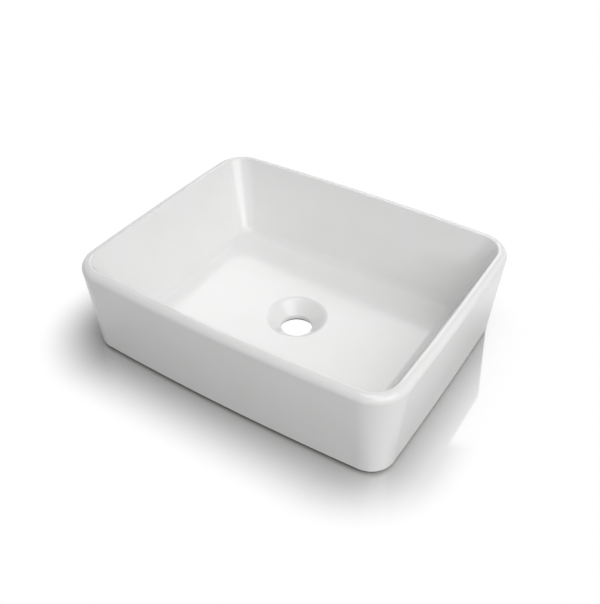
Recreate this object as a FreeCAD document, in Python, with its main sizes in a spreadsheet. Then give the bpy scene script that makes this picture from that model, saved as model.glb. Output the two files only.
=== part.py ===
import FreeCAD, Part
import math
import os
import Sketcher

# Driving dimensions, lengths in millimetres and angles in degrees
SIZES = [
    ("length", 484, "rim length, over the crown of the ends"),
    ("width", 386, "rim width, over the crown of the long sides"),
    ("body_height", 135, "china, from foot to rim"),
    ("end_taper", 9.2, "each end leans in by this much from rim to foot"),
    ("side_taper", 13, "each long side leans in by this much from rim to foot"),
    ("top_corner_radius", 48, "outer corner at the rim"),
    ("base_corner_radius", 33, "outer corner at the foot"),
    ("side_crown_radius", 4000, "slight outward bow of the long sides"),
    ("end_crown_radius", 7000, "slight outward bow of the ends"),
    ("rim_width", 13.5, "outer wall to bowl wall, across the rim"),
    ("rim_outer_radius", 9.5, "round on the outer edge of the rim"),
    ("rim_inner_radius", 2.5, "round on the inner edge of the rim"),
    ("foot_edge_radius", 2.5, "round on the lower edge of the outer walls"),
    ("bowl_lean", 22.4, "lean of the bowl walls from upright"),
    ("bowl_corner_radius", 33, "bowl corner at the rim"),
    ("bowl_low_corner_radius", 19, "bowl corner at the level of the waste lip"),
    ("bowl_crease_radius", 16, "round between bowl walls and bowl floor"),
    ("floor_crown_radius", 2700, "spherical fall of the bowl floor to the waste"),
    ("dish_diameter", 84, "sunk seat round the waste hole"),
    ("dish_depth", 17.5, "bowl floor down to the waste lip"),
    ("dish_edge_radius", 9, "round where the floor turns down into the dish"),
    ("waste_hole_diameter", 45, "standard basin waste hole"),
    ("waste_wall", 6, "china between the waste lip and the boss seat"),
    ("waste_lip_radius", 1.5, "round on the lip of the waste hole"),
    ("boss_land", 12.5, "flat ring round the hole for the waste washer"),
    ("boss_recess", 0.5, "boss seat above the foot"),
    ("skin", 8, "thickness of the cast china skins"),
    ("rim_solid_depth", 30, "solid china below the rim, above the hollow walls"),
    ("foot_margin", 9, "foot ring left inside the seal"),
    ("foot_relief", 3, "step up inside the foot ring"),
    ("foot_corner_radius", 25, "corner of the step inside the foot ring"),
    ("recess_corner_radius", 30, "corner of the deep recess under the bowl floor"),
    ("recess_edge_radius", 5, "round where recess walls and boss meet the floor's underside"),
    ("vent_diameter", 8, "firing vents into the hollow walls"),
    ("vent_spacing", 220, "vents along each long side"),
    ("seal_thickness", 4, "rubber strip between foot and counter"),
    ("seal_width", 10, "rubber strip, across"),
    ("seal_setback", 0.5, "strip set back from the flat of the foot"),
    ("seal_edge_radius", 1, "round on the edges of the strip"),
]

# Levels above the counter, as expressions of the driving dimensions
FOOT = "Sizes.seal_thickness"
TOP = f"({FOOT} + Sizes.body_height)"
BOSS = f"({FOOT} + Sizes.boss_recess)"
LIP = f"({BOSS} + Sizes.waste_wall)"
SHOULDER = f"({LIP} + Sizes.dish_depth)"
RECESS = f"({SHOULDER} - Sizes.skin)"
HOLLOW_LOW = f"({FOOT} + Sizes.foot_relief + Sizes.skin)"
HOLLOW_HIGH = f"({TOP} - Sizes.rim_solid_depth)"

# Radii about the waste, and the strip and foot ring measured in from the lower edge
HOLE_RADIUS = "(Sizes.waste_hole_diameter / 2)"
DISH_RADIUS = "(Sizes.dish_diameter / 2)"
SEAL_OUTSIDE = "(Sizes.foot_edge_radius + Sizes.seal_setback)"
SEAL_INSIDE = f"({SEAL_OUTSIDE} + Sizes.seal_width)"
FOOT_RING = f"({SEAL_INSIDE} + Sizes.foot_margin)"

# Most that a round may take: of the rim, on each side, and of the seal's thickness
OUTER_RIM_SHARE = 0.72
INNER_RIM_SHARE = 0.2
SEAL_SHARE = 0.4

# Reach of a cut past the face that it opens, and the slack when edges are found by their level
CUT_OVERLAP = 2
LEVEL_SLACK = 0.01

# Sketch numbering: points of an arc or line count up from 1, the sketch's own axes down from -1
START, END, CENTRE = range(1, 4)
X_AXIS, Y_AXIS = range(-1, -3, -1)
ORIGIN = (X_AXIS, START)
UP = FreeCAD.Vector(0, 0, 1)

doc = FreeCAD.newDocument("CountertopBasin")
sheet = doc.addObject("Spreadsheet::Sheet", "Sizes")
for row, (alias, value, note) in enumerate(SIZES, start=1):
    sheet.set(f"A{row}", alias)
    sheet.set(f"B{row}", str(value))
    sheet.set(f"C{row}", note)
    sheet.setAlias(f"B{row}", alias)
doc.recompute()


def size(expression):
    """Value of an expression of the sheet's sizes."""
    return float(sheet.evalExpression(expression))


def outer_half(axis, level):
    """Half length or half width of the outer walls at a level."""
    whole, taper = {"x": ("length", "end_taper"), "y": ("width", "side_taper")}[axis]
    return f"(Sizes.{whole} / 2 - Sizes.{taper} * ({TOP} - {level}) / Sizes.body_height)"


def bowl_half(axis, level):
    """Half length or half width of the bowl walls at a level."""
    whole = {"x": "length", "y": "width"}[axis]
    run = f"({TOP} - {level}) * tan(Sizes.bowl_lean * 1 deg)"
    return f"(Sizes.{whole} / 2 - Sizes.rim_width - {run})"


def new_body(label):
    body = doc.addObject("PartDesign::Body", label)
    body.Label = label
    return body


def new_sketch(body, name, plane, level=None):
    """Sketch on one of the body's own origin planes, lifted to a level where one is given."""
    sketch = body.newObject("Sketcher::SketchObject", name)
    origin_plane = next(f for f in body.Origin.OriginFeatures if f.Role == plane)
    sketch.AttachmentSupport = [(origin_plane, "")]
    sketch.MapMode = "FlatFace"
    if level:
        sketch.setExpression("AttachmentOffset.Base.z", level)
    return sketch


def fix(sketch, kind, *ids):
    sketch.addConstraint(Sketcher.Constraint(kind, *ids))


def bind(sketch, expression, kind, *ids):
    """Adds a dimension to a sketch and ties it to an expression."""
    index = sketch.addConstraint(Sketcher.Constraint(kind, *ids, size(expression)))
    sketch.setExpression(f"Constraints[{index}]", expression)


def place(sketch, geometry, point, x, y):
    """Ties a point's two coordinates to expressions."""
    bind(sketch, x, "DistanceX", *ORIGIN, geometry, point)
    bind(sketch, y, "DistanceY", *ORIGIN, geometry, point)


def add_outline(sketch, half_length, half_width, corner):
    """Rounded rectangle with crowned sides: a side arc and a corner arc in turn, from the front."""
    half_x, half_y, radius = size(half_length), size(half_width), size(corner)
    side_radius, end_radius = size("Sizes.side_crown_radius"), size("Sizes.end_crown_radius")
    quarter = math.pi / 2
    side_turn = math.asin((half_x - radius) / side_radius)
    end_turn = math.asin((half_y - radius) / end_radius)
    corner_turn = (quarter - side_turn - end_turn) / 2
    corner_middle = end_turn + corner_turn
    corner_x = half_x - radius - end_radius * (1 - math.cos(end_turn))
    corner_y = half_y - radius - side_radius * (1 - math.cos(side_turn))

    def arc(x, y, arc_radius, middle, half_turn):
        circle = Part.Circle(FreeCAD.Vector(x, y, 0), UP, arc_radius)
        return sketch.addGeometry(Part.ArcOfCircle(circle, middle - half_turn, middle + half_turn))

    front = arc(0, side_radius - half_y, side_radius, -quarter, side_turn)
    front_right = arc(corner_x, -corner_y, radius, -corner_middle, corner_turn)
    right = arc(half_x - end_radius, 0, end_radius, 0, end_turn)
    back_right = arc(corner_x, corner_y, radius, corner_middle, corner_turn)
    back = arc(0, half_y - side_radius, side_radius, quarter, side_turn)
    back_left = arc(-corner_x, corner_y, radius, 2 * quarter - corner_middle, corner_turn)
    left = arc(end_radius - half_x, 0, end_radius, 2 * quarter, end_turn)
    front_left = arc(-corner_x, -corner_y, radius, corner_middle - 2 * quarter, corner_turn)

    loop = [front, front_right, right, back_right, back, back_left, left, front_left]
    for first, second in zip(loop, loop[1:] + loop[:1]):
        fix(sketch, "Tangent", first, END, second, START)
    fix(sketch, "PointOnObject", front, CENTRE, Y_AXIS)
    fix(sketch, "PointOnObject", left, CENTRE, X_AXIS)
    fix(sketch, "Symmetric", front, CENTRE, back, CENTRE, *ORIGIN)
    fix(sketch, "Symmetric", left, CENTRE, right, CENTRE, *ORIGIN)
    fix(sketch, "Equal", front, back)
    fix(sketch, "Equal", left, right)
    for other in (back_right, back_left, front_left):
        fix(sketch, "Equal", front_right, other)
    bind(sketch, "Sizes.side_crown_radius", "Radius", front)
    bind(sketch, "Sizes.end_crown_radius", "Radius", left)
    bind(sketch, corner, "Radius", front_right)
    bind(sketch, f"Sizes.side_crown_radius - {half_width}", "DistanceY", *ORIGIN, front, CENTRE)
    bind(sketch, f"Sizes.end_crown_radius - {half_length}", "DistanceX", *ORIGIN, left, CENTRE)


def outline(body, name, level, half_length, half_width, corner):
    sketch = new_sketch(body, name, "XY_Plane", level)
    add_outline(sketch, half_length, half_width, corner)
    return sketch


def loft(body, kind, name, lower, upper):
    """Ruled loft from the upper outline down to the lower one, added to the body or cut from it."""
    feature = body.newObject(f"PartDesign::{kind}", name)
    feature.Profile = upper
    feature.Sections = [lower]
    feature.Ruled = True
    doc.recompute()


def pad(body, name, sketch, length):
    feature = body.newObject("PartDesign::Pad", name)
    feature.Profile = sketch
    feature.setExpression("Length", length)
    doc.recompute()


def check_cut(body, name, volume_before):
    doc.recompute()
    if body.Shape.Volume >= volume_before:
        raise RuntimeError(f"{name} cut nothing")


def groove(body, name, sketch):
    """Cuts the sketch turned about the upright axis."""
    before = body.Shape.Volume
    feature = body.newObject("PartDesign::Groove", name)
    feature.Profile = sketch
    feature.ReferenceAxis = (sketch, ["V_Axis"])
    feature.Angle = 360
    check_cut(body, name, before)


def fillet(body, name, wanted, radius):
    """Rounds the edges of the body's last feature that the test picks."""
    base = body.Tip
    names = [f"Edge{number}" for number, edge in enumerate(base.Shape.Edges, start=1) if wanted(edge)]
    if not names:
        raise RuntimeError(f"{name} found no edge")
    feature = body.newObject("PartDesign::Fillet", name)
    feature.Base = (base, names)
    feature.setExpression("Radius", radius)
    doc.recompute()


def lies_at(edge, level):
    box = edge.BoundBox
    return max(abs(box.ZMin - size(level)), abs(box.ZMax - size(level))) < LEVEL_SLACK


# Bowl floor, turned about the waste: a spherical fall, the sloping dish and the edge of the hole
def draw_floor(body):
    reach = "(Sizes.length / 2)"
    under = f"{LIP} - {CUT_OVERLAP}"
    crown = size("Sizes.floor_crown_radius")
    crown_z = size(SHOULDER) + math.sqrt(crown ** 2 - size(DISH_RADIUS) ** 2)
    reach_z = crown_z - math.sqrt(crown ** 2 - size(reach) ** 2)
    lip = FreeCAD.Vector(size(HOLE_RADIUS), size(LIP), 0)
    shoulder = FreeCAD.Vector(size(DISH_RADIUS), size(SHOULDER), 0)
    far_top = FreeCAD.Vector(size(reach), reach_z, 0)
    far_low = FreeCAD.Vector(size(reach), size(under), 0)
    near_low = FreeCAD.Vector(size(HOLE_RADIUS), size(under), 0)
    crown_circle = Part.Circle(FreeCAD.Vector(0, crown_z, 0), UP, crown)
    from_angle = math.atan2(shoulder.y - crown_z, shoulder.x)
    to_angle = math.atan2(far_top.y - crown_z, far_top.x)

    sketch = new_sketch(body, "floor_profile", "XZ_Plane")
    dish_line = sketch.addGeometry(Part.LineSegment(lip, shoulder))
    floor_arc = sketch.addGeometry(Part.ArcOfCircle(crown_circle, from_angle, to_angle))
    far_line = sketch.addGeometry(Part.LineSegment(far_top, far_low))
    under_line = sketch.addGeometry(Part.LineSegment(far_low, near_low))
    hole_line = sketch.addGeometry(Part.LineSegment(near_low, lip))
    loop = [dish_line, floor_arc, far_line, under_line, hole_line]
    for first, second in zip(loop, loop[1:] + loop[:1]):
        fix(sketch, "Coincident", first, END, second, START)
    fix(sketch, "PointOnObject", floor_arc, CENTRE, Y_AXIS)
    fix(sketch, "Vertical", far_line)
    fix(sketch, "Vertical", hole_line)
    bind(sketch, "Sizes.floor_crown_radius", "Radius", floor_arc)
    place(sketch, dish_line, START, HOLE_RADIUS, LIP)
    place(sketch, dish_line, END, DISH_RADIUS, SHOULDER)
    place(sketch, far_line, END, reach, under)
    bind(sketch, under, "DistanceY", *ORIGIN, hole_line, START)
    return sketch


# Bowl: leaning walls over the dished floor, and the waste hole
def make_bowl_form():
    body = new_body("bowl_form")
    lower = outline(body, "bowl_low", LIP, bowl_half("x", LIP), bowl_half("y", LIP),
                    "Sizes.bowl_low_corner_radius")
    upper = outline(body, "bowl_opening", TOP, bowl_half("x", TOP), bowl_half("y", TOP),
                    "Sizes.bowl_corner_radius")
    loft(body, "AdditiveLoft", "bowl_walls", lower, upper)
    groove(body, "bowl_floor", draw_floor(body))

    hole = new_sketch(body, "waste_hole_circle", "XY_Plane", f"{BOSS} - {CUT_OVERLAP}")
    ring = hole.addGeometry(Part.Circle(FreeCAD.Vector(0, 0, 0), UP, size(HOLE_RADIUS)))
    fix(hole, "Coincident", ring, CENTRE, *ORIGIN)
    bind(hole, HOLE_RADIUS, "Radius", ring)
    pad(body, "waste_hole", hole, f"Sizes.waste_wall + 2 * {CUT_OVERLAP}")

    def is_crease(edge):
        box = edge.BoundBox
        outside_dish = max(-box.XMin, box.XMax, -box.YMin, box.YMax) > size("Sizes.dish_diameter")
        return outside_dish and size(SHOULDER) < box.ZMin and box.ZMax < size(HOLLOW_HIGH)

    fillet(body, "bowl_crease", is_crease,
           "min(Sizes.bowl_crease_radius; Sizes.bowl_low_corner_radius)")
    fillet(body, "dish_edge", lambda edge: lies_at(edge, SHOULDER), "Sizes.dish_edge_radius")
    fillet(body, "waste_lip", lambda edge: lies_at(edge, LIP), "Sizes.waste_lip_radius")
    return body


# Underside: a step inside the foot ring, a deep recess under the bowl floor, and the waste boss
def make_underside_form():
    body = new_body("underside_form")
    step = outline(body, "foot_step", f"{FOOT} - {CUT_OVERLAP}", f"({outer_half('x', FOOT)} - {FOOT_RING})",
                   f"({outer_half('y', FOOT)} - {FOOT_RING})", "Sizes.foot_corner_radius")
    pad(body, "foot_relief", step, f"Sizes.foot_relief + {CUT_OVERLAP}")
    deep = outline(body, "recess_outline", FOOT, bowl_half("x", HOLLOW_LOW), bowl_half("y", HOLLOW_LOW),
                   "Sizes.recess_corner_radius")
    pad(body, "floor_recess", deep, f"{RECESS} - {FOOT}")

    boss_top = f"{RECESS} + {CUT_OVERLAP}"
    boss_corners = [("0", boss_top), ("0", BOSS), (f"{HOLE_RADIUS} + Sizes.boss_land", BOSS),
                    (f"{DISH_RADIUS} + Sizes.skin", boss_top)]
    points = [FreeCAD.Vector(size(x), size(z), 0) for x, z in boss_corners]
    boss = new_sketch(body, "boss_profile", "XZ_Plane")
    loop = [boss.addGeometry(Part.LineSegment(*ends)) for ends in zip(points, points[1:] + points[:1])]
    for first, second in zip(loop, loop[1:] + loop[:1]):
        fix(boss, "Coincident", first, END, second, START)
    for line, (x, z) in zip(loop, boss_corners):
        place(boss, line, START, x, z)
    groove(body, "waste_boss", boss)
    fillet(body, "recess_edge", lambda edge: lies_at(edge, RECESS), "Sizes.recess_edge_radius")
    return body


# Hollow between the outer walls and the bowl walls, one skin in from each
def make_wall_hollow():
    body = new_body("wall_hollow")
    skin_across = "Sizes.skin / cos(Sizes.bowl_lean * 1 deg)"
    outer = [outline(body, f"hollow_outer_{name}", level, f"({outer_half('x', level)} - Sizes.skin)",
                     f"({outer_half('y', level)} - Sizes.skin)", f"Sizes.{corner} - Sizes.skin")
             for name, level, corner in (("low", HOLLOW_LOW, "base_corner_radius"),
                                         ("high", HOLLOW_HIGH, "top_corner_radius"))]
    loft(body, "AdditiveLoft", "hollow_outside", *outer)
    inner = [outline(body, f"hollow_inner_{name}", level, f"({bowl_half('x', level)} + {skin_across})",
                     f"({bowl_half('y', level)} + {skin_across})", f"Sizes.{corner} + {skin_across}")
             for name, level, corner in (("low", f"({HOLLOW_LOW} - {CUT_OVERLAP})", "bowl_low_corner_radius"),
                                         ("high", f"({HOLLOW_HIGH} + {CUT_OVERLAP})", "bowl_corner_radius"))]
    loft(body, "SubtractiveLoft", "hollow_inside", *inner)
    return body


# Firing vents, through the web between the foot ring and the deep recess
def add_vents(body):
    across = f"({bowl_half('y', HOLLOW_LOW)} + {outer_half('y', FOOT)} - {FOOT_RING}) / 2"
    level = f"{FOOT} + Sizes.foot_relief - {CUT_OVERLAP}"
    circles = new_sketch(body, "vent_circles", "XY_Plane", level)
    for side_x in (-1, 1):
        for side_y in (-1, 1):
            x, y = f"{side_x} * Sizes.vent_spacing / 2", f"{side_y} * {across}"
            circle = Part.Circle(FreeCAD.Vector(size(x), size(y), 0), UP, size("Sizes.vent_diameter / 2"))
            ring = circles.addGeometry(circle)
            bind(circles, "Sizes.vent_diameter / 2", "Radius", ring)
            place(circles, ring, CENTRE, x, y)
    before = body.Shape.Volume
    vents = body.newObject("PartDesign::Pocket", "vents")
    vents.Profile = circles
    vents.Reversed = True
    vents.setExpression("Length", f"Sizes.skin + 2 * {CUT_OVERLAP}")
    check_cut(body, "vents", before)


# Basin: outer walls, less the bowl, the underside and the hollow, with its edges rounded
def make_basin_body():
    body = new_body("basin_body")
    lower = outline(body, "foot_outline", FOOT, outer_half("x", FOOT), outer_half("y", FOOT),
                    "Sizes.base_corner_radius")
    upper = outline(body, "rim_outline", TOP, outer_half("x", TOP), outer_half("y", TOP),
                    "Sizes.top_corner_radius")
    loft(body, "AdditiveLoft", "outer_walls", lower, upper)
    fillet(body, "foot_edge", lambda edge: lies_at(edge, FOOT), "Sizes.foot_edge_radius")

    openings = body.newObject("PartDesign::Boolean", "openings")
    openings.setObjects([make_bowl_form(), make_underside_form(), make_wall_hollow()])
    openings.Type = "Cut"
    doc.recompute()

    middle_x = size(f"{bowl_half('x', TOP)} + Sizes.rim_width / 2")
    middle_y = size(f"{bowl_half('y', TOP)} + Sizes.rim_width / 2")

    def is_rim(edge, inner):
        box = edge.BoundBox
        inside = max(-box.XMin, box.XMax) < middle_x and max(-box.YMin, box.YMax) < middle_y
        return lies_at(edge, TOP) and inside == inner

    fillet(body, "rim_inside", lambda edge: is_rim(edge, True),
           f"min(Sizes.rim_inner_radius; {INNER_RIM_SHARE} * Sizes.rim_width)")
    fillet(body, "rim_outside", lambda edge: is_rim(edge, False),
           f"min(Sizes.rim_outer_radius; {OUTER_RIM_SHARE} * Sizes.rim_width)")
    add_vents(body)
    return body


# Seal: a flat rubber strip that runs round under the foot ring
def make_base_seal():
    body = new_body("base_seal")
    sketch = new_sketch(body, "seal_outline", "XY_Plane")
    for inset in (SEAL_OUTSIDE, SEAL_INSIDE):
        add_outline(sketch, f"({outer_half('x', FOOT)} - {inset})", f"({outer_half('y', FOOT)} - {inset})",
                    f"Sizes.base_corner_radius - {inset}")
    pad(body, "seal_strip", sketch, "Sizes.seal_thickness")
    fillet(body, "seal_edge", lambda edge: lies_at(edge, "0") or lies_at(edge, FOOT),
           f"min(Sizes.seal_edge_radius; {SEAL_SHARE} * Sizes.seal_thickness)")
    return body


pieces = [make_basin_body(), make_base_seal()]
doc.recompute()
for item in doc.Objects:
    if {"Invalid", "Error"} & set(item.State):
        raise RuntimeError(f"{item.Label} failed: {item.State}")
for piece in pieces:
    if piece.Shape.isNull() or not piece.Shape.isValid() or len(piece.Shape.Solids) != 1:
        raise RuntimeError(f"{piece.Label} is not one sound solid")

os.makedirs("parts", exist_ok=True)
for piece in pieces:
    piece.Shape.exportStep(f"parts/{piece.Label}.step")
    box = piece.Shape.optimalBoundingBox()
    print(piece.Label, f"{box.XLength:.1f} x {box.YLength:.1f} x {box.ZLength:.1f} mm",
          f"{piece.Shape.Volume / 1000:.0f} cm3")
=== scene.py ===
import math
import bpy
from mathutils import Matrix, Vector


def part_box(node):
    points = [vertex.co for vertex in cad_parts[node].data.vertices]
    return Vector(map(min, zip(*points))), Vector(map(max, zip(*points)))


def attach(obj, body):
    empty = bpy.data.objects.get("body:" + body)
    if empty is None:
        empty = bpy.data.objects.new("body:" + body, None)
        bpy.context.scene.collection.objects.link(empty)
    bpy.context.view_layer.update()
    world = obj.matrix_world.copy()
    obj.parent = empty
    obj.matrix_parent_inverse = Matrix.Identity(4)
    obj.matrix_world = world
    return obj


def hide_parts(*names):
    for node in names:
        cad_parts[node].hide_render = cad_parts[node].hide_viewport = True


bl_info = {
    "name": "Countertop Basin",
    "version": (1, 0, 0),
    "blender": (4, 5, 0),
    "location": "View3D > Sidebar > Basin",
    "description": "Models a basin's glazed china, finishes its seal and sets both on a studio floor",
    "category": "Object",
}

import bmesh
import bpy
from mathutils import Matrix, Vector
from mathutils.kdtree import KDTree

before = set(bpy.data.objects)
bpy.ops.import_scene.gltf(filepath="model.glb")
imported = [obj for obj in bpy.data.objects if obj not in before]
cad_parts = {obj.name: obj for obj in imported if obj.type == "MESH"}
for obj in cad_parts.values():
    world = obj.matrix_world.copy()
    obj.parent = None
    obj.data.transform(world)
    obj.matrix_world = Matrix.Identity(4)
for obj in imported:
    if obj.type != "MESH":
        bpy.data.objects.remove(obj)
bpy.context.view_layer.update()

# Metres in a millimetre
MM = 0.001

# Levels of the china's lower edge and of its rim
foot_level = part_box("basin_body")[0].z
rim_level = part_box("basin_body")[1].z

# Points along each stretch of an outline: a long side, an end and a corner
SIDE_STEPS = 24
END_STEPS = 18
CORNER_STEPS = 20

# Points round a firing vent
VENT_STEPS = 32

# Where the rings of the bowl floor lie, as shares of the way from the walls to the dish
FLOOR_SHARES = (0.2, 0.36, 0.52, 0.68, 0.84)

# Rounds after which two sizes that depend on each other have settled
SETTLING_ROUNDS = 6

# Slots of the china's two finishes, and the rings up to which its underside is left bare
GLAZED, BARE = range(2)
BARE_RINGS = ("boss_seat", "boss_root", "recess_ceiling", "recess_foot", "step", "foot_inside", "foot")

# Softboxes of the stage, by the word that their properties begin with
SOFTBOXES = ("key", "top", "back")

# Painted light: the floor under the waste hole is painted plain white a little further out than the hole's
# own radius
PAINTED_WASTE_LIGHT = 1.14


# Sizes, colours and stage settings

def millimetres(name, value, note):
    """A property that is a length, with its default given in millimetres."""
    return bpy.props.FloatProperty(
        name=name, description=note, default=value * MM, unit="LENGTH", precision=4
    )


def angle(name, value, note):
    """A property that is an angle, with its default given in degrees."""
    return bpy.props.FloatProperty(
        name=name, description=note, default=math.radians(value), subtype="ANGLE"
    )


def factor(name, value, note):
    """A property that is a share between 0 and 1."""
    return bpy.props.FloatProperty(
        name=name, description=note, default=value, min=0, max=1, subtype="FACTOR"
    )


def power(name, value, note):
    """A property that is the power of a lamp, in watts."""
    return bpy.props.FloatProperty(name=name, description=note, default=value, min=0, unit="POWER")


def linear(value):
    """Linear colour of an sRGB hex value."""
    shares = [int(value[i:i + 2], 16) / 255 for i in (1, 3, 5)]
    return [s / 12.92 if s <= 0.04045 else ((s + 0.055) / 1.055) ** 2.4 for s in shares] + [1]


def colour(name, value, note):
    """A property that is a colour, with its default given as an sRGB hex value."""
    return bpy.props.FloatVectorProperty(
        name=name, description=note, default=linear(value), size=4, subtype="COLOR", min=0, max=1
    )


class BasinChina(bpy.types.PropertyGroup):
    """Sizes of the china, as cast and glazed."""

    length: millimetres("Length", 484, "Rim length, over the crown of the ends")
    width: millimetres("Width", 386, "Rim width, over the crown of the long sides")
    end_taper: millimetres("End taper", 9.2, "Each end leans in by this much from rim to foot")
    side_taper: millimetres("Side taper", 13, "Each long side leans in by this much from rim to foot")
    side_crown: millimetres("Side crown", 4000, "Radius of the slight bow of the long sides")
    end_crown: millimetres("End crown", 7000, "Radius of the slight bow of the ends")
    top_corner: millimetres("Top corner", 48, "Outer corner radius at the rim")
    base_corner: millimetres("Base corner", 33, "Outer corner radius at the foot")
    rim_width: millimetres("Rim width", 13.5, "Outer wall to bowl wall, across the rim")
    rim_outer_round: millimetres("Rim outer round", 9.5, "Round on the outer edge of the rim")
    rim_inner_round: millimetres("Rim inner round", 2.5, "Round on the inner edge of the rim")
    foot_round: millimetres("Foot round", 2.5, "Round on the lower edge of the outer walls")
    bowl_lean: angle("Bowl lean", 22.4, "Lean of the bowl walls from upright")
    bowl_corner: millimetres("Bowl corner", 33, "Bowl corner radius at the rim")
    bowl_low_corner: millimetres("Bowl low corner", 19, "Bowl corner radius at the level of the lip")
    bowl_crease: millimetres("Bowl crease", 16, "Round between bowl walls and bowl floor")
    floor_crown: millimetres("Floor crown", 2700, "Radius of the floor's fall to the waste")
    dish_radius: millimetres("Dish radius", 42, "Sunk seat round the waste hole")
    dish_depth: millimetres("Dish depth", 17.5, "Bowl floor down to the waste lip")
    dish_round: millimetres("Dish round", 9, "Round where the floor turns down into the dish")
    hole_radius: millimetres("Waste hole radius", 22.5, "Standard basin waste hole")
    hole_wall: millimetres("Waste wall", 6, "China between the waste lip and the boss seat")
    lip_round: millimetres("Lip round", 1.5, "Round on the lip of the waste hole")
    boss_land: millimetres("Boss land", 12.5, "Flat ring round the hole under the basin")
    boss_recess: millimetres("Boss recess", 0.5, "Boss seat above the foot")
    skin: millimetres("Skin", 8, "Thickness of the cast china")
    foot_ring: millimetres("Foot ring", 22, "Width of the foot, in from the lower edge")
    foot_relief: millimetres("Foot relief", 3, "Step up inside the foot ring")
    foot_corner: millimetres("Foot corner", 25, "Corner radius of the step inside the foot ring")
    recess_corner: millimetres("Recess corner", 30, "Corner radius of the recess under the bowl floor")
    recess_round: millimetres("Recess round", 5, "Round where recess walls and boss meet its ceiling")
    cast_round: millimetres("Cast round", 0.8, "Softened edges of the unglazed underside")
    vent_radius: millimetres("Vent radius", 4, "Firing vents in the underside")
    vent_spacing: millimetres("Vent spacing", 220, "Distance between the vents along each long side")
    vent_depth: millimetres("Vent depth", 20, "How deep a vent can be seen into")


class BasinFinish(bpy.types.PropertyGroup):
    """Colours of the finishes, and the sizes of their patterns."""

    glaze: colour("Glaze", "#F1F1F1", "Gloss white glaze")
    glaze_thin: colour("Thin glaze", "#EDEDEC", "Where the glaze ran thinner")
    glaze_rough: factor("Glaze roughness", 0.015, "Roughness of the glaze above the bowl's crease")
    glaze_thin_rough: factor("Thin glaze roughness", 0.04, "The same, where the glaze ran thinner")
    glaze_low_rough: factor("Low glaze roughness", 0.18, "Roughness on the bowl floor and as low outside")
    glaze_pool: millimetres("Glaze pools", 70, "Size of the patches of thick and thin glaze")
    glaze_ripple: millimetres("Glaze ripples", 16, "Size of the ripples in the glaze")
    glaze_ripple_depth: millimetres("Glaze ripple depth", 0.03, "Depth of the ripples in the glaze")
    bisque: colour("Bisque", "#E2DCD0", "Bare fired china under the foot")
    bisque_dark: colour("Dark bisque", "#CFC7B8", "Grains of the bare china")
    bisque_grain: millimetres("Bisque grain", 1.2, "Size of the grains of the bare china")
    bisque_grain_depth: millimetres("Bisque grain depth", 0.15, "Depth between the grains")
    rubber: colour("Rubber", "#131313", "Closed-cell seal strip")
    rubber_dust: colour("Rubber bloom", "#262626", "Dusty bloom on the strip")
    rubber_cell: millimetres("Rubber cells", 0.9, "Size of the cells in the face of the strip")
    rubber_cell_depth: millimetres("Rubber cell depth", 0.2, "Depth of the cells")
    # Grey, so that inside the painted shade outline by the basin it reads as shade, partly cast and partly
    # painted, even where lit
    sheet: colour("Floor sheet", "#BABABA", "Polished sheet of the floor")


class BasinStage(bpy.types.PropertyGroup):
    """Camera, floor and lights."""

    azimuth: angle("Azimuth", 32.567, "Camera bearing, turned from the front to the right")
    elevation: angle("Elevation", 39.271, "Camera height above the horizon")
    roll: angle("Roll", 0.213, "Camera turn about its own axis")
    distance: millimetres("Distance", 1101.5, "Camera to the point that it looks at")
    target: bpy.props.FloatVectorProperty(
        name="Target", description="Point that the camera looks at",
        default=(4.0 * MM, 2.6 * MM, 54.1 * MM), size=3, subtype="TRANSLATION", precision=4,
    )
    lens: bpy.props.FloatProperty(
        name="Lens", description="Focal length for a sensor 36 mm on the long side of the frame",
        default=46.61, unit="CAMERA",
    )
    floor_size: millimetres("Floor", 12000, "Side of the floor sheet")
    # The floor's shade is partly cast by the lamps and partly painted: a drawn outline round the basin,
    # shifted away from the key, fades the grey sheet into plain white
    shade_width: millimetres("Shade width", 98, "Shade of the basin fades to white over this width")
    shade_round: millimetres("Shade round", 60, "Rounding of the outline of the shade")
    shade_shift: millimetres("Shade shift", 12, "Shade lies this far to the left, away from the key")
    studio_level: factor("Studio level", 0.26, "Even light of the studio")
    backdrop_low: angle("Backdrop low", 22, "Backdrop is white up to this height above the horizon")
    backdrop_high: angle("Backdrop high", 40, "Backdrop has faded into the studio from this height on")
    key_azimuth: angle("Key azimuth", 68, "Bearing of the key softbox, from the front to the right")
    key_elevation: angle("Key elevation", 40, "Height of the key softbox above the horizon")
    key_distance: millimetres("Key distance", 3000, "Key softbox to basin")
    key_width: millimetres("Key width", 2500, "Key softbox, across")
    key_height: millimetres("Key height", 2200, "Key softbox, upwards")
    key_power: power("Key power", 46, "Power of the key softbox")
    top_azimuth: angle("Top azimuth", 40, "Bearing of the top softbox, from the front to the right")
    top_elevation: angle("Top elevation", 80, "Height of the top softbox above the horizon")
    top_distance: millimetres("Top distance", 3000, "Top softbox to basin")
    top_width: millimetres("Top width", 1400, "Top softbox, across")
    top_height: millimetres("Top height", 1400, "Top softbox, front to back")
    top_power: power("Top power", 19, "Power of the top softbox")
    back_azimuth: angle("Back azimuth", 203, "Bearing of the back softbox, from the front to the right")
    back_elevation: angle("Back elevation", 40, "Height of the back softbox above the horizon")
    back_distance: millimetres("Back distance", 3000, "Back softbox to basin")
    back_width: millimetres("Back width", 2000, "Back softbox, across")
    back_height: millimetres("Back height", 1100, "Back softbox, upwards")
    back_power: power("Back power", 16, "Power of the back softbox")


# Outlines of the china

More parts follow.
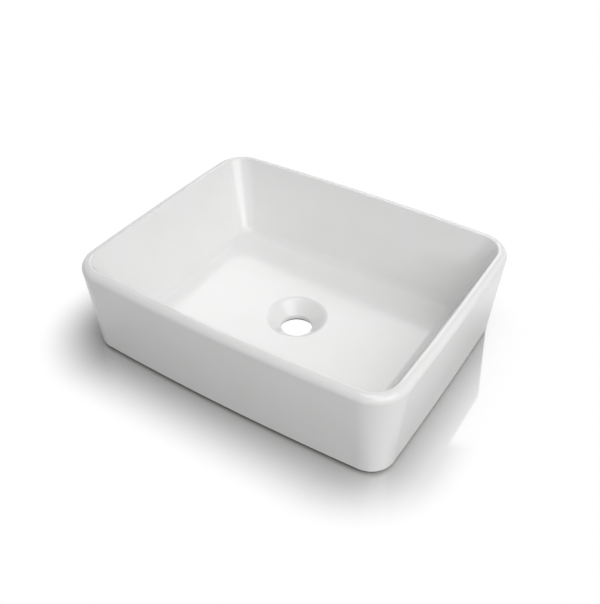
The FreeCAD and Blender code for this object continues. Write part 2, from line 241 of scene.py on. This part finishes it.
def outline(china, half_x, half_y, corner, level):
    """Rounded rectangle with crowned sides, as points from the front by the right round to the left."""
    side, end = china.side_crown, china.end_crown
    corner_y = half_y - corner
    for _ in range(SETTLING_ROUNDS):
        corner_x = half_x - end + math.sqrt((end - corner) ** 2 - corner_y ** 2)
        corner_y = half_y - side + math.sqrt((side - corner) ** 2 - corner_x ** 2)
    side_turn = math.asin(corner_x / (side - corner))
    end_turn = math.asin(corner_y / (end - corner))
    corner_turn = (math.pi / 2 - side_turn - end_turn) / 2
    corner_middle = end_turn + corner_turn
    # Centre, radius, direction of the middle, half the turn and the points of each arc
    arcs = (
        (0, side - half_y, side, -math.pi / 2, side_turn, SIDE_STEPS),
        (corner_x, -corner_y, corner, -corner_middle, corner_turn, CORNER_STEPS),
        (half_x - end, 0, end, 0, end_turn, END_STEPS),
        (corner_x, corner_y, corner, corner_middle, corner_turn, CORNER_STEPS),
        (0, half_y - side, side, math.pi / 2, side_turn, SIDE_STEPS),
        (-corner_x, corner_y, corner, math.pi - corner_middle, corner_turn, CORNER_STEPS),
        (end - half_x, 0, end, math.pi, end_turn, END_STEPS),
        (-corner_x, -corner_y, corner, corner_middle - math.pi, corner_turn, CORNER_STEPS),
    )
    points = []
    for x, y, radius, middle, half_turn, steps in arcs:
        for step in range(steps):
            turn = middle + half_turn * (2 * step / steps - 1)
            points.append(Vector((x + radius * math.cos(turn), y + radius * math.sin(turn), level)))
    return points


def outer_outline(china, inset, corner, level):
    """Outline of the outer walls at a level, drawn in by an inset."""
    fall = (rim_level - level) / (rim_level - foot_level)
    half_x = china.length / 2 - china.end_taper * fall - inset
    half_y = china.width / 2 - china.side_taper * fall - inset
    return outline(china, half_x, half_y, corner, level)


def bowl_outline(china, wall_level, corner, level):
    """Outline of the bowl walls as they are at one level, drawn at another."""
    inset = china.rim_width + (rim_level - wall_level) * math.tan(china.bowl_lean)
    return outline(china, china.length / 2 - inset, china.width / 2 - inset, corner, level)


def floor_level(china):
    """Level of the bowl floor where it turns down into the dish."""
    return foot_level + china.boss_recess + china.hole_wall + china.dish_depth


def floor_height(china, point):
    """Level of the bowl floor under a point, on a shallow sphere that falls to the dish."""
    def rise(radius):
        return china.floor_crown - math.sqrt(china.floor_crown ** 2 - radius ** 2)

    return floor_level(china) + rise(point.xy.length) - rise(china.dish_radius)


def crease_ring(china, opening, lip):
    """Ring where the bowl walls, straight from the opening down to the lip's level, meet the floor."""
    low = bowl_outline(china, lip, china.bowl_low_corner, lip)
    crease = []
    for high_point, low_point in zip(opening, low):
        point = low_point
        for _ in range(SETTLING_ROUNDS):
            share = (floor_height(china, point) - lip) / (rim_level - lip)
            point = low_point.lerp(high_point, share)
        crease.append(point)
    return crease


def china_rings(china):
    """Named rings of the china, from the waste lip under the basin, round the foot and over the rim."""
    boss = foot_level + china.boss_recess
    lip = boss + china.hole_wall
    shoulder = floor_level(china)
    ceiling = shoulder - china.skin
    step = foot_level + china.foot_relief
    web = step + china.skin
    opening = bowl_outline(china, rim_level, china.bowl_corner, rim_level)
    crease = crease_ring(china, opening, lip)
    foot_inside = outer_outline(china, china.foot_ring, china.foot_corner, foot_level)

    def circle(radius, level):
        """Circle about the waste, with a point in line with each point of the crease."""
        return [Vector((*(point.xy.normalized() * radius), level)) for point in crease]

    dish = circle(china.dish_radius, shoulder)
    boss_radius = china.hole_radius + china.boss_land
    boss_slope = (china.dish_radius + china.skin - boss_radius) / (shoulder - boss)
    rings = {
        "lip": circle(china.hole_radius, lip),
        "hole_foot": circle(china.hole_radius, boss),
        "boss_seat": circle(boss_radius, boss),
        "boss_root": circle(boss_radius + boss_slope * (ceiling - boss), ceiling),
        "recess_ceiling": bowl_outline(china, web, china.recess_corner, ceiling),
        "recess_foot": bowl_outline(china, web, china.recess_corner, step),
        "step": [Vector((*point.xy, step)) for point in foot_inside],
        "foot_inside": foot_inside,
        "foot": outer_outline(china, 0, china.base_corner, foot_level),
        "rim_outside": outer_outline(china, 0, china.top_corner, rim_level),
        "rim_inside": opening,
        "crease": crease,
    }
    for number, share in enumerate(FLOOR_SHARES):
        ring = [wall.lerp(centre, share) for wall, centre in zip(crease, dish)]
        rings[f"floor_{number}"] = [Vector((*point.xy, floor_height(china, point))) for point in ring]
    rings["dish"] = dish
    return rings


def china_rounds(china):
    """Rings of the china that are rounded, each with its radius and the segments across it."""
    return (
        ("lip", china.lip_round, 3),
        ("hole_foot", china.cast_round / 2, 2),
        ("boss_seat", china.cast_round, 2),
        ("boss_root", china.recess_round, 4),
        ("recess_ceiling", china.recess_round, 5),
        ("recess_foot", china.cast_round, 2),
        ("step", china.cast_round, 2),
        ("foot_inside", china.cast_round, 2),
        ("foot", china.foot_round, 5),
        ("rim_outside", china.rim_outer_round, 12),
        ("rim_inside", china.rim_inner_round, 8),
        ("crease", china.bowl_crease, 12),
        ("dish", china.dish_round, 8),
    )


# Modelling steps

def ring_vertices(mesh, places):
    """Vertices that lie at the places of a ring."""
    tree = KDTree(len(mesh.verts))
    for number, vertex in enumerate(mesh.verts):
        tree.insert(vertex.co, number)
    tree.balance()
    mesh.verts.ensure_lookup_table()
    return [mesh.verts[tree.find(place)[1]] for place in places]


def select_rings(piece, *rings):
    """Selects the edges along rings in edit mode, and gives the angles at which their faces meet."""
    bpy.ops.mesh.select_all(action="DESELECT")
    mesh = bmesh.from_edit_mesh(piece.data)
    turns = []
    for places in rings:
        ring = ring_vertices(mesh, places)
        for first, second in zip(ring, ring[1:] + ring[:1]):
            edge = mesh.edges.get((first, second))
            edge.select_set(True)
            turns.append(edge.calc_face_angle(0))
    bmesh.update_edit_mesh(piece.data)
    return turns


def place_first_ring(piece, places):
    """Moves the vertices of a new circle to the places of a ring."""
    mesh = bmesh.from_edit_mesh(piece.data)
    for vertex, place in zip(mesh.verts, places):
        vertex.co = place
    bmesh.update_edit_mesh(piece.data)


def extrude_ring(piece, places, next_places, slot):
    """Extrudes the open edge of a skin from one ring to the next, and gives the new faces a slot."""
    select_rings(piece, places)
    mesh = bmesh.from_edit_mesh(piece.data)
    old = [vertex.index for vertex in ring_vertices(mesh, places)]
    bpy.ops.mesh.extrude_edges_move()
    mesh = bmesh.from_edit_mesh(piece.data)
    mesh.verts.ensure_lookup_table()
    for number, place in zip(old, next_places):
        vertex = mesh.verts[number]
        ends = [edge.other_vert(vertex) for edge in vertex.link_edges]
        next(end for end in ends if end.select).co = place
    for edge in mesh.edges:
        if edge.select:
            edge.link_faces[0].material_index = slot
    bmesh.update_edit_mesh(piece.data)


def close_skin(piece, last, first):
    """Closes a skin from its last ring to its first, and turns its faces outwards."""
    select_rings(piece, last, first)
    bpy.ops.mesh.bridge_edge_loops()
    bpy.ops.mesh.select_all(action="SELECT")
    bpy.ops.mesh.normals_make_consistent(inside=False)


def round_ring(piece, places, radius, segments):
    """Rounds the edge along a ring to a radius."""
    turns = select_rings(piece, places)
    reach = radius * math.tan(sum(turns) / len(turns) / 2)
    bpy.ops.mesh.bevel(
        offset_type="OFFSET", offset=reach, segments=segments, affect="EDGES", clamp_overlap=False
    )


def cut_vents(context, china, piece):
    """Bores the firing vents into the underside, inside the foot ring."""
    base = foot_level + china.foot_relief
    inner = china.rim_width + (rim_level - base - china.skin) * math.tan(china.bowl_lean)
    across = china.width / 2 - (inner + china.side_taper + china.foot_ring) / 2
    for side_x in (-1, 1):
        for side_y in (-1, 1):
            bpy.ops.object.select_all(action="DESELECT")
            bpy.ops.mesh.primitive_cylinder_add(
                vertices=VENT_STEPS, radius=china.vent_radius, depth=2 * china.vent_depth,
                location=(side_x * china.vent_spacing / 2, side_y * across, base),
            )
            drill = context.object
            drill.data.materials.append(piece.data.materials[BARE])
            context.view_layer.objects.active = piece
            bore = piece.modifiers.new("vent", "BOOLEAN")
            bore.operation = "DIFFERENCE"
            bore.solver = "EXACT"
            bore.material_mode = "TRANSFER"
            bore.object = drill
            bpy.ops.object.modifier_apply(modifier=bore.name)
            bpy.data.meshes.remove(drill.data)
    piece.select_set(True)


def smooth_china(piece):
    """Shades the china smooth, with its large faces flat and its rounds soft."""
    bpy.ops.object.shade_smooth()
    normals = piece.modifiers.new("glaze_normals", "WEIGHTED_NORMAL")
    normals.weight = 100
    bpy.ops.object.modifier_apply(modifier=normals.name)


# Finishes

def add_node(tree, kind, inputs=(), **settings):
    """Adds a node with its settings; an input is a value, or another node's output to link."""
    node = tree.nodes.new(kind)
    for name, value in settings.items():
        setattr(node, name, value)
    for name, value in dict(inputs).items():
        if isinstance(value, bpy.types.NodeSocket):
            tree.links.new(value, node.inputs[name])
        else:
            node.inputs[name].default_value = value
    return node


def new_material(name):
    """A new material and its node tree, with no nodes in it yet."""
    material = bpy.data.materials.new(name)
    material.use_nodes = True
    material.node_tree.nodes.clear()
    return material, material.node_tree


def glazed_china(finish, china):
    """Vitreous china under a white glaze, sprayed on and fired to a gloss."""
    # Fired glaze is glass, so the eye sees crisp reflections over an even white. They are softer low down,
    # on the bowl floor and the foot of the outer walls. The ripples of a sprayed glaze are a few
    # millimetres wide, and drawn coarser to show.
    material, tree = new_material("glazed_vitreous_china")
    place = add_node(tree, "ShaderNodeTexCoord").outputs["Object"]
    pool = add_node(tree, "ShaderNodeTexNoise",
                    {"Vector": place, "Scale": 1 / finish.glaze_pool, "Detail": 2}).outputs["Fac"]
    tint = add_node(tree, "ShaderNodeMix", {"Factor": pool, "A": finish.glaze, "B": finish.glaze_thin},
                    data_type="RGBA")
    high_gloss = add_node(tree, "ShaderNodeMapRange",
                          {"Value": pool, "To Min": finish.glaze_rough, "To Max": finish.glaze_thin_rough})
    height = add_node(tree, "ShaderNodeSeparateXYZ", {"Vector": place}).outputs["Z"]
    gloss = add_node(tree, "ShaderNodeMapRange",
                     {"Value": height, "From Min": floor_level(china),
                      "From Max": floor_level(china) + china.bowl_crease,
                      "To Min": finish.glaze_low_rough, "To Max": high_gloss.outputs["Result"]})
    ripple = add_node(tree, "ShaderNodeTexNoise",
                      {"Vector": place, "Scale": 1 / finish.glaze_ripple, "Detail": 1}).outputs["Fac"]
    wave = add_node(tree, "ShaderNodeBump", {"Height": ripple, "Distance": finish.glaze_ripple_depth})
    shader = add_node(tree, "ShaderNodeBsdfPrincipled",
                      {"Base Color": tint.outputs["Result"], "Roughness": gloss.outputs["Result"],
                       "IOR": 1.54, "Normal": wave.outputs["Normal"]})
    add_node(tree, "ShaderNodeOutputMaterial", {"Surface": shader.outputs["BSDF"]})
    return material


def bare_china(finish):
    """Unglazed china of the underside, as it comes from the kiln."""
    # Fired clay without glaze looks dull, creamy and sandy. Its grit is about 0.1 mm, and drawn coarser
    # to show.
    material, tree = new_material("bare_fired_china")
    place = add_node(tree, "ShaderNodeTexCoord").outputs["Object"]
    grain = add_node(tree, "ShaderNodeTexNoise",
                     {"Vector": place, "Scale": 1 / finish.bisque_grain, "Detail": 4}).outputs["Fac"]
    tint = add_node(tree, "ShaderNodeMix", {"Factor": grain, "A": finish.bisque, "B": finish.bisque_dark},
                    data_type="RGBA")
    grit = add_node(tree, "ShaderNodeBump", {"Height": grain, "Distance": finish.bisque_grain_depth})
    shader = add_node(tree, "ShaderNodeBsdfPrincipled",
                      {"Base Color": tint.outputs["Result"], "Roughness": 0.8,
                       "Normal": grit.outputs["Normal"]})
    add_node(tree, "ShaderNodeOutputMaterial", {"Surface": shader.outputs["BSDF"]})
    return material


def seal_rubber(finish):
    """Closed-cell rubber strip, cut from foamed sheet."""
    # Cut foam rubber looks matt and nearly black, pitted by its cells. They are about 0.3 mm wide, and
    # drawn coarser to show.
    material, tree = new_material("closed_cell_rubber")
    place = add_node(tree, "ShaderNodeTexCoord").outputs["Object"]
    cells = add_node(tree, "ShaderNodeTexVoronoi",
                     {"Vector": place, "Scale": 1 / finish.rubber_cell}).outputs["Distance"]
    tint = add_node(tree, "ShaderNodeMix", {"Factor": cells, "A": finish.rubber, "B": finish.rubber_dust},
                    data_type="RGBA")
    pits = add_node(tree, "ShaderNodeBump", {"Height": cells, "Distance": finish.rubber_cell_depth})
    shader = add_node(tree, "ShaderNodeBsdfPrincipled",
                      {"Base Color": tint.outputs["Result"], "Roughness": 0.85,
                       "Normal": pits.outputs["Normal"]})
    add_node(tree, "ShaderNodeOutputMaterial", {"Surface": shader.outputs["BSDF"]})
    return material


def seen_ray(tree):
    """1 on rays that the eye follows, straight, mirrored or through glass, and 0 on rays that only light."""
    rays = add_node(tree, "ShaderNodeLightPath").outputs
    seen = rays["Is Camera Ray"]
    for kind in ("Is Glossy Ray", "Is Transmission Ray"):
        seen = add_node(tree, "ShaderNodeMath", {0: seen, 1: rays[kind]}, operation="MAXIMUM").outputs[0]
    return seen


def painted_white_mask(tree, stage, hole):
    """0 by the basin, where the grey sheet shows its lit and shaded self, rising through a painted fade to 1
    round it, and 1 under the waste hole, where light is painted.
    """
    place = add_node(tree, "ShaderNodeTexCoord").outputs["Object"]
    # Painted shade: a drawn outline round the seal, shifted away from the key, is where the grey sheet shows
    shade = add_node(tree, "ShaderNodeMapping", {"Vector": place, "Location": (stage.shade_shift, 0, 0)})
    side = add_node(tree, "ShaderNodeVectorMath", {0: shade.outputs["Vector"]}, operation="ABSOLUTE")
    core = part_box("base_seal")[1].xy - Vector((stage.shade_round, stage.shade_round))
    past = add_node(tree, "ShaderNodeVectorMath", {0: side.outputs["Vector"], 1: (*core, 0)},
                    operation="SUBTRACT")
    past = add_node(tree, "ShaderNodeVectorMath", {0: past.outputs["Vector"], 1: (0, 0, 0)},
                    operation="MAXIMUM")
    reach = add_node(tree, "ShaderNodeVectorMath", {0: past.outputs["Vector"]}, operation="LENGTH")
    away = add_node(tree, "ShaderNodeMapRange",
                    {"Value": reach.outputs["Value"], "From Min": stage.shade_round,
                     "From Max": stage.shade_round + stage.shade_width},
                    interpolation_type="SMOOTHSTEP").outputs["Result"]
    middle = add_node(tree, "ShaderNodeVectorMath", {0: place}, operation="LENGTH").outputs["Value"]
    # Painted light: a white disc on the floor under the waste hole, standing in for light falling through it
    under = add_node(tree, "ShaderNodeMath", {0: middle, 1: hole * PAINTED_WASTE_LIGHT}, operation="LESS_THAN")
    return add_node(tree, "ShaderNodeMath", {0: away, 1: under.outputs[0]}, operation="MAXIMUM").outputs[0]


def polished_floor(finish, stage, hole):
    """Polished acrylic sheet on the floor, plain white to the eye outside its painted shade, and painted
    white under the waste hole.
    """
    # A polished sheet gives the eye a slightly blurred mirror image. The IOR is higher than acrylic's 1.5,
    # which would mirror too weakly to show on so pale a floor.
    material, tree = new_material("polished_white_floor")
    matt = add_node(tree, "ShaderNodeBsdfDiffuse", {"Color": finish.sheet})
    mirror = add_node(tree, "ShaderNodeBsdfGlossy", {"Color": (1, 1, 1, 1), "Roughness": 0.06})
    sheen = add_node(tree, "ShaderNodeFresnel", {"IOR": 2.8})
    sheet = add_node(tree, "ShaderNodeMixShader",
                     {0: sheen.outputs["Fac"], 1: matt.outputs["BSDF"], 2: mirror.outputs["BSDF"]})
    # Plain white emission, seen straight and mirrored, outside the painted shade outline and, as painted
    # light, under the waste hole
    plain = add_node(tree, "ShaderNodeEmission", {"Color": (1, 1, 1, 1), "Strength": 1})
    white = add_node(tree, "ShaderNodeMath", {0: seen_ray(tree), 1: painted_white_mask(tree, stage, hole)},
                     operation="MULTIPLY")
    whole = add_node(tree, "ShaderNodeMixShader",
                     {0: white.outputs[0], 1: sheet.outputs["Shader"], 2: plain.outputs["Emission"]})
    add_node(tree, "ShaderNodeOutputMaterial", {"Surface": whole.outputs["Shader"]})
    return material


# Stage

def studio_world(stage):
    """Dim studio with a white backdrop low round the horizon, which the eye sees straight and mirrored."""
    world = bpy.data.worlds.new("studio")
    world.use_nodes = True
    tree = world.node_tree
    tree.nodes.clear()
    way = add_node(tree, "ShaderNodeTexCoord").outputs["Generated"]
    height = add_node(tree, "ShaderNodeSeparateXYZ", {"Vector": way}).outputs["Z"]
    low = add_node(tree, "ShaderNodeMapRange",
                   {"Value": height, "From Min": math.sin(stage.backdrop_high),
                    "From Max": math.sin(stage.backdrop_low)},
                   interpolation_type="SMOOTHSTEP").outputs["Result"]
    white = add_node(tree, "ShaderNodeMath", {0: seen_ray(tree), 1: low}, operation="MULTIPLY").outputs[0]
    level = add_node(tree, "ShaderNodeMapRange",
                     {"Value": white, "To Min": stage.studio_level, "To Max": 1}).outputs["Result"]
    light = add_node(tree, "ShaderNodeBackground", {"Color": (1, 1, 1, 1), "Strength": level})
    add_node(tree, "ShaderNodeOutputWorld", {"Surface": light.outputs["Background"]})
    return world


def bearing(azimuth, elevation):
    """Direction from the basin, with the azimuth turned from the front to the right."""
    return Vector((math.sin(azimuth) * math.cos(elevation),
                   -math.cos(azimuth) * math.cos(elevation), math.sin(elevation)))


def add_softbox(context, stage, name):
    """Adds a softbox that faces the point that the camera looks at."""
    towards = bearing(getattr(stage, name + "_azimuth"), getattr(stage, name + "_elevation"))
    bpy.ops.object.light_add(
        type="AREA", location=Vector(stage.target) + towards * getattr(stage, name + "_distance"),
        rotation=towards.to_track_quat("Z", "Y").to_euler(),
    )
    lamp = context.object
    lamp.name = lamp.data.name = name + "_softbox"
    lamp.data.shape = "RECTANGLE"
    lamp.data.size = getattr(stage, name + "_width")
    lamp.data.size_y = getattr(stage, name + "_height")
    lamp.data.energy = getattr(stage, name + "_power")


def add_camera(context, stage):
    """Adds the camera at the photograph's viewing angle."""
    back = bearing(stage.azimuth, stage.elevation)
    aim = (-back).to_track_quat("-Z", "Y").to_matrix() @ Matrix.Rotation(stage.roll, 3, "Z")
    bpy.ops.object.camera_add(
        location=Vector(stage.target) + back * stage.distance, rotation=aim.to_euler()
    )
    camera = context.object
    camera.name = camera.data.name = "studio_camera"
    camera.data.lens = stage.lens
    context.scene.camera = camera


# Operators and panel

class BASIN_OT_china(bpy.types.Operator):
    """Models the glazed china of the basin"""

    bl_idname = "basin.china"
    bl_label = "Model china"

    def execute(self, context):
        china, finish = context.scene.basin_china, context.scene.basin_finish
        rings = china_rings(china)
        names = list(rings)
        bpy.ops.object.select_all(action="DESELECT")
        bpy.ops.mesh.primitive_circle_add(vertices=len(rings["lip"]), radius=china.hole_radius)
        piece = context.object
        piece.name = piece.data.name = "glazed_basin"
        for material in (glazed_china(finish, china), bare_china(finish)):
            piece.data.materials.append(material)
        bpy.ops.object.mode_set(mode="EDIT")
        place_first_ring(piece, rings["lip"])
        for before, name in zip(names, names[1:]):
            extrude_ring(piece, rings[before], rings[name], BARE if name in BARE_RINGS else GLAZED)
        close_skin(piece, rings["dish"], rings["lip"])
        for name, radius, segments in china_rounds(china):
            round_ring(piece, rings[name], radius, segments)
        bpy.ops.object.mode_set(mode="OBJECT")
        cut_vents(context, china, piece)
        smooth_china(piece)
        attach(piece, "root")
        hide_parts("basin_body")
        return {"FINISHED"}


class BASIN_OT_seal(bpy.types.Operator):
    """Finishes the rubber strip under the foot"""

    bl_idname = "basin.seal"
    bl_label = "Finish seal"

    def execute(self, context):
        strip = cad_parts["base_seal"]
        strip.material_slots[0].material = seal_rubber(context.scene.basin_finish)
        return {"FINISHED"}


class BASIN_OT_stage(bpy.types.Operator):
    """Sets up floor, lights and camera"""

    bl_idname = "basin.stage"
    bl_label = "Set up stage"

    def execute(self, context):
        scene, stage = context.scene, context.scene.basin_stage
        scene.view_settings.view_transform = "Standard"
        bpy.ops.object.select_all(action="DESELECT")
        bpy.ops.mesh.primitive_plane_add(size=stage.floor_size)
        floor = context.object
        floor.name = floor.data.name = "studio_floor"
        hole = scene.basin_china.hole_radius
        floor.data.materials.append(polished_floor(scene.basin_finish, stage, hole))
        scene.world = studio_world(stage)
        for name in SOFTBOXES:
            add_softbox(context, stage, name)
        add_camera(context, stage)
        return {"FINISHED"}


class BASIN_PT_panel(bpy.types.Panel):
    """Lists the steps that build the basin"""

    bl_idname = "BASIN_PT_panel"
    bl_label = "Countertop Basin"
    bl_space_type = "VIEW_3D"
    bl_region_type = "UI"
    bl_category = "Basin"

    def draw(self, context):
        for operator in OPERATORS:
            self.layout.operator(operator.bl_idname)


GROUPS = {"basin_china": BasinChina, "basin_finish": BasinFinish, "basin_stage": BasinStage}
OPERATORS = (BASIN_OT_china, BASIN_OT_seal, BASIN_OT_stage)


def register():
    for name, group in GROUPS.items():
        bpy.utils.register_class(group)
        setattr(bpy.types.Scene, name, bpy.props.PointerProperty(type=group))
    for kind in (*OPERATORS, BASIN_PT_panel):
        bpy.utils.register_class(kind)


def unregister():
    for kind in (BASIN_PT_panel, *reversed(OPERATORS)):
        bpy.utils.unregister_class(kind)
    for name, group in GROUPS.items():
        delattr(bpy.types.Scene, name)
        bpy.utils.unregister_class(group)


def main():
    register()
    bpy.ops.basin.china()
    bpy.ops.basin.seal()
    bpy.ops.basin.stage()


if __name__ == "__main__":
    main()
